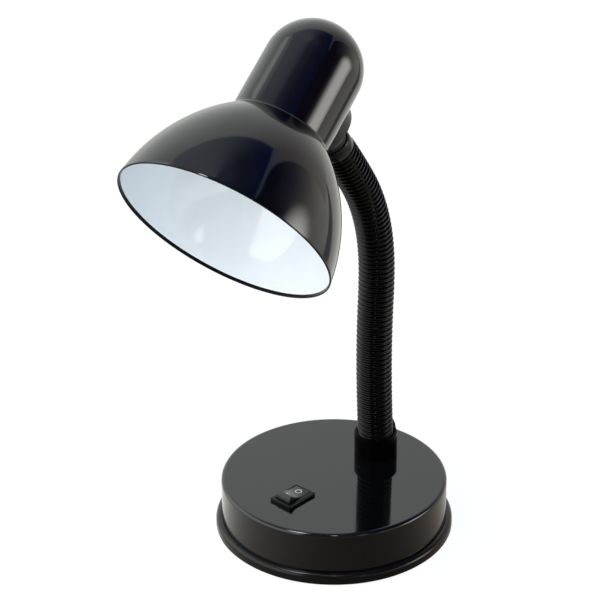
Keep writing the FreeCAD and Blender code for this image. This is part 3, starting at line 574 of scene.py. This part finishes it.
# the head's frame: mouth of the shade on z = 0, the arm to the neck along +Y
head = {"turn": 8.0, "armHeight": 86.6, "swivelDistance": 42.0}
swivel = next(joint for joint in frame["joints"] if joint["name"] == "head_swivel")
armAxis = Vector(swivel["axis"]).normalized()
mouthWay = Matrix.Rotation(math.radians(head["turn"]), 3, armAxis) @ Vector((1, 0, 0)).cross(armAxis)
upWay, backWay = -mouthWay, -armAxis
sideWay = backWay.cross(upWay)
headCentre = Vector(swivel["pos_m"]) + armAxis * head["swivelDistance"] * mm
headCentre += mouthWay * head["armHeight"] * mm
headPlace = Matrix.Translation(headCentre) @ Matrix((sideWay, backWay, upWay)).transposed().to_4x4()
armPlace = headPlace @ Matrix.Translation((0, 0, head["armHeight"] * mm))
armPlace = armPlace @ Matrix.Rotation(-math.pi / 2, 4, "X")

# shade: a spun bell with its rear cup and dome in one sheet
shade = {"mouth": 60.8, "bellHeight": 63.2, "bulge": 98.0, "cup": 27.4, "cupTop": 27.0, "cupLength": 39.7,
         "wall": 1.0, "fillet": 2.2, "rimInside": 1.8, "creaseRounds": 40, "bellSteps": 56,
         "filletSteps": 8, "cupSteps": 9, "domeSteps": 36, "innerBellSteps": 40, "innerCupSteps": 5,
         "innerDomeSteps": 24, "lipSteps": 6, "steps": 224}
domeJoin = shade["bellHeight"] + shade["cupLength"]
cupSlope = math.atan2(shade["cup"] - shade["cupTop"], shade["cupLength"])
chord = math.hypot(shade["mouth"] - shade["cup"], shade["bellHeight"])
away = math.sqrt(shade["bulge"] ** 2 - (chord / 2) ** 2)
bellX = (shade["mouth"] + shade["cup"]) / 2 - away * shade["bellHeight"] / chord
bellZ = shade["bellHeight"] / 2 - away * (shade["mouth"] - shade["cup"]) / chord


def bellRadius(height, inset):
    return bellX + math.sqrt((shade["bulge"] - inset) ** 2 - (height - bellZ) ** 2)


def cupRadius(height, inset):
    return shade["cup"] - (height - shade["bellHeight"]) * math.tan(cupSlope) - inset / math.cos(cupSlope)


def crease(offset):
    # where lines at an offset from bell and cup cross, outwards positive
    height = shade["bellHeight"]
    for k in range(shade["creaseRounds"]):
        away = cupRadius(height, -offset) - bellX
        height = bellZ + math.sqrt((shade["bulge"] + offset) ** 2 - away ** 2)
    return cupRadius(height, -offset), height


def bellPoints(low, high, inset, steps):
    # points on the bell's arc between two heights
    first = math.asin((low - bellZ) / (shade["bulge"] - inset))
    last = math.asin((high - bellZ) / (shade["bulge"] - inset))
    angles = [first + (last - first) * k / steps for k in range(steps + 1)]
    return [(bellX + (shade["bulge"] - inset) * math.cos(a), bellZ + (shade["bulge"] - inset) * math.sin(a))
            for a in angles]


def domePoints(inset, steps):
    # from the cup's side up to the axis
    joinRadius = cupRadius(domeJoin, inset)
    dome = joinRadius / math.cos(cupSlope)
    centre = domeJoin - dome * math.sin(cupSlope)
    angles = [cupSlope + (math.pi / 2 - cupSlope) * k / steps for k in range(steps + 1)]
    return [(dome * math.cos(a), centre + dome * math.sin(a)) for a in angles]


lip = shade["wall"] / 2
filletR, filletZ = crease(shade["fillet"])
toBell = Vector((bellX - filletR, bellZ - filletZ)).normalized() * shade["fillet"]
bellTouch = (filletR + toBell.x, filletZ + toBell.y)
cupTouch = (filletR - shade["fillet"] * math.cos(cupSlope), filletZ - shade["fillet"] * math.sin(cupSlope))
filletMiddle = Vector(((bellTouch[0] + cupTouch[0]) / 2 - filletR,
                       (bellTouch[1] + cupTouch[1]) / 2 - filletZ))
filletMiddle = filletMiddle.normalized() * shade["fillet"]
innerZ = crease(-shade["wall"])[1]
outline = bellPoints(lip, bellTouch[1], 0, shade["bellSteps"])
outline += arcThrough(bellTouch, (filletR + filletMiddle.x, filletZ + filletMiddle.y), cupTouch,
                      shade["filletSteps"])
for k in range(1, shade["cupSteps"]):
    height = cupTouch[1] + (domeJoin - cupTouch[1]) * k / shade["cupSteps"]
    outline.append((cupRadius(height, 0), height))
outline += domePoints(0, shade["domeSteps"])
outline[-1] = (0, outline[-1][1])
innerSide = bellPoints(lip, innerZ, shade["wall"], shade["innerBellSteps"])
innerSide.insert(1, (bellRadius(shade["rimInside"], shade["wall"]), shade["rimInside"]))
for k in range(1, shade["innerCupSteps"]):
    height = innerZ + (domeJoin - innerZ) * k / shade["innerCupSteps"]
    innerSide.append((cupRadius(height, shade["wall"]), height))
innerSide += domePoints(shade["wall"], shade["innerDomeSteps"])
innerSide[-1] = (0, innerSide[-1][1])
lowest = ((outline[0][0] + innerSide[0][0]) / 2, 0)
lipPoints = arcThrough(innerSide[0], lowest, outline[0], shade["lipSteps"])[:-1]
outline = innerSide[::-1] + lipPoints + outline
bm = turned(outline, shade["steps"], closed=False)


def insideWall(point):
    # true on the inner face, above the rim
    radius, height = math.hypot(point.x, point.y) / mm, point.z / mm
    if height < shade["rimInside"]:
        return False
    if height < innerZ:
        return radius < bellRadius(height, shade["wall"] / 2)
    if height < domeJoin:
        return radius < cupRadius(height, shade["wall"] / 2)
    return math.hypot(radius, height - domeJoin) < cupRadius(domeJoin, shade["wall"] / 2)


def onRim(point):
    # true on the rounded edge and on the black band inside it
    radius, height = math.hypot(point.x, point.y) / mm, point.z / mm
    return height < lip or (height < shade["rimInside"] and radius < bellRadius(height, shade["wall"] / 2))


for face in bm.faces:
    middle = face.calc_center_median()
    face.material_index = 2 if onRim(middle) else int(insideWall(middle))
standFor(bm, "shade_shell", [glossBlack, shadeWhite, rimBlack], "head", "shade", headPlace,
         sharpAngle=50)


def besideCorner(corner, offsets):
    # a small rounding: points set off from a corner
    return [(corner[0] + across, corner[1] + up) for across, up in offsets]


# saddle between cup and swivel: made on a flat foot, which is then shaped to the cup
saddle = {
    "radius": 18.0,
    "neck": 8.8,
    "bore": 4.7,
    "foot": 20.0,
    "footRings": (8.0, 11.0, 14.5),
    "footEdge": 0.15,
    "footZone": 0.5,
    "gap": 0.05,
    "flare": 28.2,
    "end": 41.0,
    "hollow": 2.0,
    "shoulder": [(0, -0.3), (-0.05, -0.1), (-0.25, 0.15)],
    "throat": [(0.1, -0.6), (0, -0.2), (-0.2, 0)],
    "flareSteps": 20,
    "steps": 120,
}
shoulder = besideCorner((saddle["radius"], saddle["flare"]), saddle["shoulder"])
throat = besideCorner((saddle["neck"], saddle["end"]), saddle["throat"])
flareMiddle = ((saddle["radius"] + saddle["neck"]) / 2 - saddle["hollow"],
               (saddle["flare"] + saddle["end"]) / 2)
footRadii = (saddle["bore"], *saddle["footRings"], saddle["radius"] - saddle["footEdge"])
outline = [(radius, saddle["foot"]) for radius in footRadii]
outline += [(saddle["radius"], saddle["foot"] + saddle["footEdge"])] + shoulder[:2]
outline += arcThrough(shoulder[2], flareMiddle, throat[0], saddle["flareSteps"])
outline += throat[1:] + [(saddle["bore"], saddle["end"])]
bm = turned(outline, saddle["steps"])
for vert in bm.verts:
    x, y, z = vert.co / mm
    if z < saddle["foot"] + saddle["footZone"]:
        atCup = cupRadius(head["armHeight"] - y, -saddle["gap"])
        vert.co.z = (math.sqrt(atCup ** 2 - x * x) + (z - saddle["foot"])) * mm
standFor(bm, "saddle_cone", [satinBlack], "head", "shade_saddle", armPlace, sharpAngle=35)

# ferrule on the neck's end
ferrule = {"radius": 10.0, "length": 7.4, "top": 8.8, "straight": 4.6, "inside": 7.0, "bore": 4.9,
           "cap": 2.2, "land": 0.3, "footEdge": [(-0.3, 0), (-0.09, 0.09), (0, 0.3)], "endSteps": 12,
           "steps": 96}
drop, endHeight = ferrule["radius"] - ferrule["top"], ferrule["length"] - ferrule["straight"]
capInside = ferrule["length"] - ferrule["cap"]
outline = [(ferrule["inside"], 0)] + besideCorner((ferrule["radius"], 0), ferrule["footEdge"])
outline += [(ferrule["radius"], ferrule["straight"] - ferrule["land"]),
            (ferrule["radius"], ferrule["straight"])]
for k in range(1, ferrule["endSteps"]):
    angle = math.pi / 2 * k / ferrule["endSteps"]
    outline.append((ferrule["top"] + drop * math.cos(angle),
                    ferrule["straight"] + endHeight * math.sin(angle)))
outline += [(ferrule["top"], ferrule["length"]), (ferrule["bore"], ferrule["length"]),
            (ferrule["bore"], capInside), (ferrule["inside"], capInside)]
standFor(turned(outline, ferrule["steps"]), "ferrule_cap", [ferruleBlack], "neck_7", "end_ferrule",
         neckFrame(neckLength), sharpAngle=35)

# lamp: frosted ball and its neck
bulb = {"radius": 22.5, "centre": 47.67, "throat": 12.0, "cap": 6.95, "capFoot": 79.2,
        "neckEnd": [(0.5, -1.4), (0, -0.5), (0, 0)], "ballSteps": 40, "steps": 96}
throatAngle = math.acos(bulb["throat"] / bulb["radius"])
angles = [-math.pi / 2 + (throatAngle + math.pi / 2) * k / bulb["ballSteps"]
          for k in range(bulb["ballSteps"] + 1)]
outline = [(bulb["radius"] * math.cos(a), bulb["centre"] + bulb["radius"] * math.sin(a)) for a in angles]
outline[0] = (0, bulb["centre"] - bulb["radius"])
outline += besideCorner((bulb["cap"], bulb["capFoot"]), bulb["neckEnd"]) + [(0, bulb["capFoot"])]
standFor(turned(outline, bulb["steps"], closed=False), "bulb_ball", [frostedGlass], "head", "bulb_glass",
         headPlace, sharpAngle=50)
print("head made")


def rampNode(tree, value, stops):
    # a colour ramp with its stops given as (place, colour)
    node = tree.nodes.new("ShaderNodeValToRGB")
    elements = node.color_ramp.elements
    elements[0].position = stops[0][0]
    elements[1].position = stops[-1][0]
    for place, colour in stops[1:-1]:
        elements.new(place)
    for stop, (place, colour) in zip(elements, stops):
        stop.color = (*colour, 1)
    tree.links.new(value, node.inputs["Fac"])
    return node.outputs["Color"]


# floor: white to the camera; to gloss it shows a painted reflection, with painted shade darkening it
# towards one side and a dark strip behind the lamp
floorPlan = {
    "half": 4.0,
    "colour": (0.8, 0.8, 0.8, 1),
    "whiteShare": 0.9,
    "white": 1.06,
    "shadeAzimuth": 62.0,
    "paintedShadeStops": [(0.0, (1.1, 1.1, 1.05)), (0.25, (1.07, 1.07, 1.02)), (0.5, (0.66, 0.65, 0.60)),
                  (0.75, (0.45, 0.40, 0.35)), (1.0, (0.17, 0.14, 0.12))],
    "far": (0.95, 0.94, 0.88, 1),
    "farEdges": (0.2, 1.0),
    "strip": (0.14, 0.26),    # along X, in metres as all of the floor's plan
    "stripSoft": 0.04,
    "stripFrom": (0.3, 0.4),    # along Y
    "stripColour": (0.27, 0.27, 0.28, 1),
}
bm = bmesh.new()
bmesh.ops.create_grid(bm, x_segments=1, y_segments=1, size=floorPlan["half"])
floorFinish = bpy.data.materials.new("floor")
floorFinish.use_nodes = True
nodes, links = floorFinish.node_tree.nodes, floorFinish.node_tree.links
nodes.clear()
spot = nodes.new("ShaderNodeTexCoord").outputs["Object"]
outward = nodes.new("ShaderNodeVectorMath")
outward.operation = "NORMALIZE"
links.new(spot, outward.inputs[0])
shadeWay = math.radians(floorPlan["shadeAzimuth"])
facing = nodes.new("ShaderNodeVectorMath")
facing.operation = "DOT_PRODUCT"
facing.inputs[1].default_value = (math.sin(shadeWay), -math.cos(shadeWay), 0)
links.new(outward.outputs["Vector"], facing.inputs[0])
facingShare = nodes.new("ShaderNodeMapRange")    # from -1 to 1 onto 0 to 1
facingShare.inputs["From Min"].default_value = -1.0
links.new(facing.outputs["Value"], facingShare.inputs["Value"])
# painted shade: the floor as gloss sees it darkens towards shadeAzimuth
paintedShadeColour = rampNode(floorFinish.node_tree, facingShare.outputs["Result"], floorPlan["paintedShadeStops"])
distance = nodes.new("ShaderNodeVectorMath")
distance.operation = "LENGTH"
links.new(spot, distance.inputs[0])
farShare = nodes.new("ShaderNodeMapRange")
farShare.inputs["From Min"].default_value, farShare.inputs["From Max"].default_value = floorPlan["farEdges"]
links.new(distance.outputs["Value"], farShare.inputs["Value"])
paintedReflection = nodes.new("ShaderNodeMixRGB")
paintedReflection.inputs["Color2"].default_value = floorPlan["far"]
links.new(farShare.outputs["Result"], paintedReflection.inputs["Fac"])
links.new(paintedShadeColour, paintedReflection.inputs["Color1"])
spotParts = nodes.new("ShaderNodeSeparateXYZ")
links.new(spot, spotParts.inputs[0])
stripLow, stripHigh = floorPlan["strip"]
stripEdges = ((0, stripLow - floorPlan["stripSoft"], stripLow),
              (0, stripHigh + floorPlan["stripSoft"], stripHigh), (1, *floorPlan["stripFrom"]))
stripShare = None
for axis, start, full in stripEdges:
    edge = nodes.new("ShaderNodeMapRange")
    edge.inputs["From Min"].default_value = start
    edge.inputs["From Max"].default_value = full
    links.new(spotParts.outputs[axis], edge.inputs["Value"])
    if stripShare is None:
        stripShare = edge.outputs["Result"]
    else:
        both = nodes.new("ShaderNodeMath")
        both.operation = "MULTIPLY"
        links.new(stripShare, both.inputs[0])
        links.new(edge.outputs["Result"], both.inputs[1])
        stripShare = both.outputs[0]
striped = nodes.new("ShaderNodeMixRGB")
striped.inputs["Color2"].default_value = floorPlan["stripColour"]
links.new(stripShare, striped.inputs["Fac"])
links.new(paintedReflection.outputs["Color"], striped.inputs["Color1"])
# painted reflection: gloss rays see this emission instead of the lit floor, painted shade included
paintedReflectionGlow = nodes.new("ShaderNodeEmission")
links.new(striped.outputs["Color"], paintedReflectionGlow.inputs["Color"])
lightPath = nodes.new("ShaderNodeLightPath")
matt = nodes.new("ShaderNodeBsdfDiffuse")
matt.inputs["Color"].default_value = floorPlan["colour"]
plain = nodes.new("ShaderNodeEmission")
plain.inputs["Strength"].default_value = floorPlan["white"]
share = nodes.new("ShaderNodeMath")
share.operation = "MULTIPLY"
share.inputs[1].default_value = floorPlan["whiteShare"]
mixed = nodes.new("ShaderNodeMixShader")
surface = nodes.new("ShaderNodeOutputMaterial")
links.new(lightPath.outputs["Is Camera Ray"], share.inputs[0])
links.new(share.outputs[0], mixed.inputs[0])
links.new(matt.outputs[0], mixed.inputs[1])
links.new(plain.outputs[0], mixed.inputs[2])
mirrorMix = nodes.new("ShaderNodeMixShader")
links.new(lightPath.outputs["Is Glossy Ray"], mirrorMix.inputs[0])
links.new(mixed.outputs[0], mirrorMix.inputs[1])
links.new(paintedReflectionGlow.outputs[0], mirrorMix.inputs[2])
links.new(mirrorMix.outputs[0], surface.inputs["Surface"])
floor = makeObject(bm, "floor", [floorFinish], sharpAngle=30)

# studio: a square room that only gloss shows, with a bright back wall, a soft panel on its left wall,
# a dark front wall, an opening with a lamp and a wedge of light in its right wall, and two small lights
# in its ceiling. Azimuth 0 is towards -Y and 90 towards +X, in degrees.
studio = {
    "backWall": -140.0,
    "rightWall": 130.0,
    "ceilingSlope": 1.44,    # the ceiling's height over the walls' distance
    "ceilingSoft": 0.025,
    "cornerSoft": 0.02,
    "brightAzimuth": -115.0,
    "lowerLift": 0.2,
    "wallStops": [(0.2, (0.15, 0.15, 0.14)), (0.625, (0.45, 0.44, 0.44)), (0.75, (0.67, 0.67, 0.65)),
                  (0.885, (0.92, 0.94, 0.92)), (0.96, (0.99, 1.02, 1.0)), (1.0, (1.15, 1.19, 1.18))],
    "ceilingStops": [(0.82, (0.02, 0.04, 0.2)), (0.95, (0.07, 0.08, 0.2)), (1.0, (0.2, 0.22, 0.4))],
    "ceilingPale": (0.60, 0.66, 0.75),
    "paleAzimuth": -85.0,
    "paleEdges": (-0.35, 1.25),
    "frameStops": [(0.0, (0.72, 0.70, 0.64)), (0.28, (0.60, 0.58, 0.54)), (0.5, (0.50, 0.45, 0.46)),
                   (0.67, (0.45, 0.40, 0.46)), (0.76, (0.30, 0.37, 0.66))],
    "openingAzimuth": 120.0,
    "openingHalf": 47.0,
    "openingTop": 53.0,
    "openingPower": 4.0,    # 2 is an oval, more is squarer
    "openingEdge": (1.06, 0.94),
    "openingStops": [(0.0, (0.99, 0.97, 0.87)), (0.17, (0.77, 0.74, 0.65)), (0.34, (0.40, 0.38, 0.40)),
                     (0.5, (0.16, 0.165, 0.21)), (0.7, (0.025, 0.02, 0.06))],
    "darkAzimuth": (142.0, 108.0),
    "darkElevation": (20.0, 32.0),
    "dark": (0.03, 0.02, 0.06),
    "lampPlace": (126.0, 9.0),
    "lampFlat": 0.8,
    "lampSpread": (4.0, 19.0),
    "lampColour": (5.5, 5.4, 5.1),
    "panelAzimuth": (-88.0, 10.0),
    "panelElevation": (0.0, 44.0),
    "panelSoft": (3.0, 2.0),
    "panelColour": (1.9, 1.95, 2.0),
    "spotAzimuth": (-24.0, -3.0),
    "spotElevation": (57.0, 70.0),
    "spotSoft": (2.0, 2.0),
    "spotColour": (20.0, 20.0, 20.5),
    "wedgeAzimuth": (66.0, 74.0),
    "wedgeElevation": (19.0, 29.0),
    "wedgeSoft": (2.0, 2.0),
    "wedgeColour": (2.1, 2.2, 2.3),
    "dotAzimuth": (39.0, 47.0),
    "dotElevation": (57.0, 62.0),
    "dotSoft": (1.0, 1.0),
    "keyAzimuth": -25.0,
    "keyRise": 0.15,
    "keyEdges": (-0.1, 0.95),
    "fill": (0.2, 0.35, 0.5),
    "key": (2.3, 2.3, 2.25),
}
world = bpy.data.worlds.new("studio")
world.use_nodes = True
scene.world = world
nodes, links = world.node_tree.nodes, world.node_tree.links
nodes.clear()


def calc(operation, *values):
    node = nodes.new("ShaderNodeMath")
    node.operation = operation
    for k, value in enumerate(values):
        if isinstance(value, (int, float)):
            node.inputs[k].default_value = value
        else:
            links.new(value, node.inputs[k])
    return node.outputs[0]


def rise(value, low, high):
    # 0 below low, 1 above high, smooth between
    node = nodes.new("ShaderNodeMapRange")
    node.interpolation_type = "SMOOTHSTEP"
    links.new(value, node.inputs["Value"])
    node.inputs["From Min"].default_value = min(low, high)
    node.inputs["From Max"].default_value = max(low, high)
    node.inputs["To Min"].default_value = 0 if low < high else 1
    node.inputs["To Max"].default_value = 1 if low < high else 0
    return node.outputs["Result"]


def within(value, limits, soft):
    low, high = limits
    return calc("MULTIPLY", rise(value, low - soft, low + soft), rise(value, high + soft, high - soft))


def patch(name):
    # the mask of a named patch of light, soft at its edges
    softAside, softAbove = studio[name + "Soft"]
    return calc("MULTIPLY", within(azimuth, studio[name + "Azimuth"], softAside),
                within(elevation, studio[name + "Elevation"], softAbove))


def blendColour(mask, below, above):
    node = nodes.new("ShaderNodeMixRGB")
    links.new(mask, node.inputs["Fac"])
    for socket, value in ((node.inputs["Color1"], below), (node.inputs["Color2"], above)):
        if isinstance(value, tuple):
            socket.default_value = (*value, 1)
        else:
            links.new(value, socket)
    return node.outputs["Color"]


def toward(direction):
    # how far the ray goes towards an azimuth
    way = math.radians(direction)
    return calc("ADD", calc("MULTIPLY", dx, math.sin(way)), calc("MULTIPLY", dy, -math.cos(way)))


parts = nodes.new("ShaderNodeSeparateXYZ")
links.new(nodes.new("ShaderNodeTexCoord").outputs["Generated"], parts.inputs[0])
dx, dy, dz = parts.outputs
elevation = calc("DEGREES", calc("ARCSINE", dz))
azimuth = calc("DEGREES", calc("ARCTAN2", dx, calc("MULTIPLY", dy, -1.0)))
level = calc("SQRT", calc("SUBTRACT", 1.0, calc("MULTIPLY", dz, dz)))
toBack, toRight = calc("ABSOLUTE", toward(studio["backWall"])), toward(studio["rightWall"])
wallHeight = calc("MULTIPLY", calc("MAXIMUM", toBack, calc("ABSOLUTE", toRight)), studio["ceilingSlope"])
ceilingMask = rise(calc("SUBTRACT", dz, wallHeight), -studio["ceilingSoft"], studio["ceilingSoft"])
rightMask = rise(calc("SUBTRACT", toRight, toBack), -studio["cornerSoft"], studio["cornerSoft"])
wallPlace = calc("DIVIDE", toward(studio["brightAzimuth"]), level)
wallPlace = calc("ADD", wallPlace, calc("MULTIPLY", calc("SUBTRACT", 0.5, dz), studio["lowerLift"]))
wallPlace = calc("MULTIPLY", calc("ADD", wallPlace, 1.0), 0.5)
wall = rampNode(world.node_tree, wallPlace, studio["wallStops"])
opening = rampNode(world.node_tree, dz, studio["openingStops"])
darkShare = calc("MULTIPLY", rise(azimuth, *studio["darkAzimuth"]),
                 rise(elevation, *studio["darkElevation"]))
opening = blendColour(darkShare, opening, studio["dark"])
openingAside = calc("DIVIDE", calc("SUBTRACT", azimuth, studio["openingAzimuth"]), studio["openingHalf"])
openingAbove = calc("DIVIDE", elevation, studio["openingTop"])
openingReach = calc("ADD", calc("POWER", calc("ABSOLUTE", openingAside), studio["openingPower"]),
                    calc("POWER", calc("ABSOLUTE", openingAbove), studio["openingPower"]))
lampAside = calc("MULTIPLY", calc("SUBTRACT", azimuth, studio["lampPlace"][0]), studio["lampFlat"])
lampAbove = calc("SUBTRACT", elevation, studio["lampPlace"][1])
lampOff = calc("ADD", calc("MULTIPLY", lampAside, lampAside), calc("MULTIPLY", lampAbove, lampAbove))
lampOff = calc("SQRT", lampOff)
towardPale = calc("DIVIDE", toward(studio["paleAzimuth"]), level)
ceiling = blendColour(rise(towardPale, *studio["paleEdges"]),
                      rampNode(world.node_tree, dz, studio["ceilingStops"]), studio["ceilingPale"])
colour = blendColour(patch("panel"), wall, studio["panelColour"])
colour = blendColour(rightMask, colour, rampNode(world.node_tree, dz, studio["frameStops"]))
openingMask = calc("MULTIPLY", rightMask, rise(openingReach, *studio["openingEdge"]))
colour = blendColour(openingMask, colour, opening)
colour = blendColour(rise(lampOff, studio["lampSpread"][1], studio["lampSpread"][0]), colour,
                     studio["lampColour"])
colour = blendColour(ceilingMask, colour, ceiling)
colour = blendColour(calc("MAXIMUM", patch("spot"), patch("dot")), colour, studio["spotColour"])
colour = blendColour(patch("wedge"), colour, studio["wedgeColour"])
rays = nodes.new("ShaderNodeLightPath").outputs
towardKey = calc("ADD", toward(studio["keyAzimuth"]), calc("MULTIPLY", dz, studio["keyRise"]))
plainLight = blendColour(rise(towardKey, *studio["keyEdges"]), studio["fill"], studio["key"])
colour = blendColour(rays["Is Glossy Ray"], plainLight, colour)
colour = blendColour(rays["Is Camera Ray"], colour, (1.0, 1.0, 1.0))
background = nodes.new("ShaderNodeBackground")
links.new(colour, background.inputs["Color"])
worldOut = nodes.new("ShaderNodeOutputWorld")
links.new(background.outputs[0], worldOut.inputs["Surface"])

# camera at the photograph's angle
view = {"place": (0.851963, -0.933174, 0.802371), "azimuth": 43.239, "pitch": 27.545, "roll": -0.402,
        "lens": 156.0, "sensor": 36.0}
turn, pitch, roll = (math.radians(view[key]) for key in ("azimuth", "pitch", "roll"))
acrossWay = Vector((math.cos(turn), math.sin(turn), 0))
behindWay = Vector((math.sin(turn) * math.cos(pitch), -math.cos(turn) * math.cos(pitch), math.sin(pitch)))
camera = bpy.data.objects.new("camera", bpy.data.cameras.new("camera"))
levelView = Matrix((acrossWay, behindWay.cross(acrossWay), behindWay)).transposed().to_4x4()
camera.matrix_world = Matrix.Translation(view["place"]) @ levelView @ Matrix.Rotation(roll, 4, "Z")
camera.data.lens = view["lens"]
camera.data.sensor_width = view["sensor"]
scene.collection.objects.link(camera)
scene.camera = camera
scene.view_settings.view_transform = "Standard"
print("studio and camera set")
